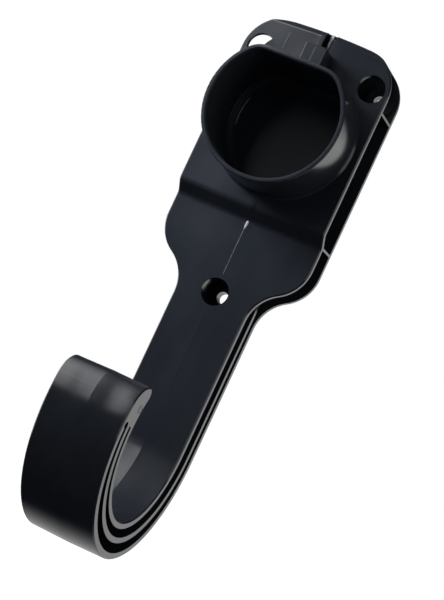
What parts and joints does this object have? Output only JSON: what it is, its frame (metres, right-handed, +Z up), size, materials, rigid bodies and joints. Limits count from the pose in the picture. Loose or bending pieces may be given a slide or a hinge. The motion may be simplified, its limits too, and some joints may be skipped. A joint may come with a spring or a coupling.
{
  "type": "charging cable holder",
  "caption": "Wall holder moulded in one piece: a flat-topped round socket parks the charging plug, and a broad open hook below it carries the coiled cable.",
  "frame": {"origin": "on the wall face, on the axis of the lower screw hole", "axes": "+X to the right along the wall, +Y into the wall, +Z up"},
  "size_m": [0.0794, 0.1143, 0.2756],
  "materials": {
    "body": "satin moulded surface, charcoal"
  },
  "bodies": {
    "root": {"cable_holder": "body"}
  },
  "joints": []
}
